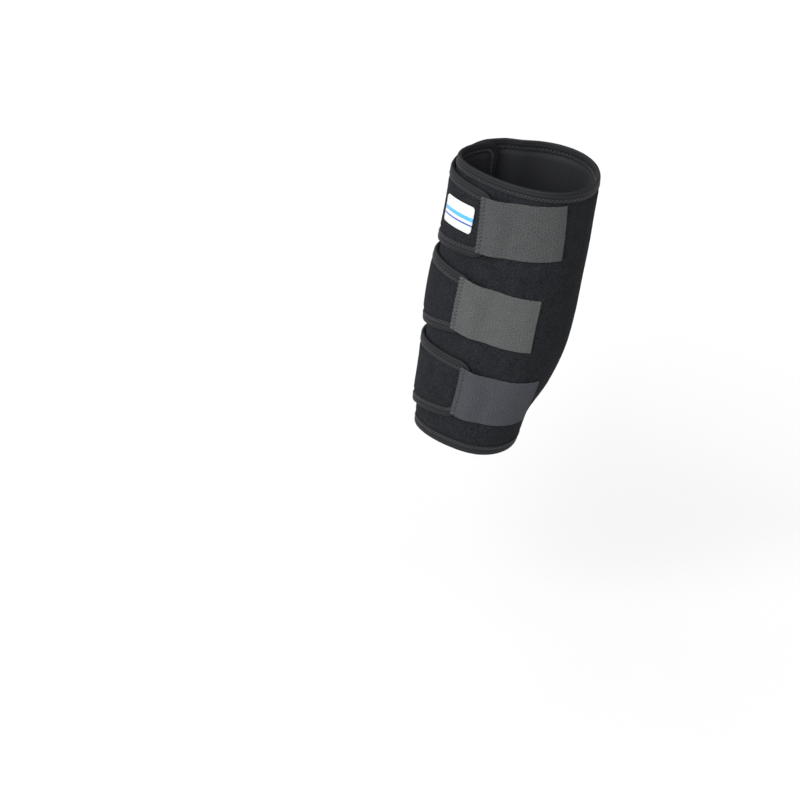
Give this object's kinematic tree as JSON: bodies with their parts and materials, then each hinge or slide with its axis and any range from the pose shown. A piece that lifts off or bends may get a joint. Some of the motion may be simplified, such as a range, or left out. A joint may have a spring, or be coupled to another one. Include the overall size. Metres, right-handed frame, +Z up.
{
  "type": "calf compression sleeve",
  "caption": "Padded wrap-round calf support, open at both ends, closed along the shin by tongues with hook tabs; closed, as worn.",
  "frame": {"origin": "middle of the hollow's axis, halfway between the two rims", "axes": "+Z up along the hollow from the ankle end to the knee end, +X from the shin side to the calf side, -Y the side that shows the tabs"},
  "size_m": [0.1334, 0.121, 0.263],
  "materials": {
    "neoprene": "plush loop face",
    "binding_tape": "smooth knitted nylon",
    "hook_tape": "woven, with a fine grain",
    "label_satin": "satin"
  },
  "bodies": {
    "root": {"wrap_panel": "neoprene", "edge_binding": "binding_tape", "hook_tab_bottom": "hook_tape", "hook_tab_middle": "hook_tape", "hook_tab_top": "hook_tape", "label": "label_satin"}
  },
  "joints": []
}
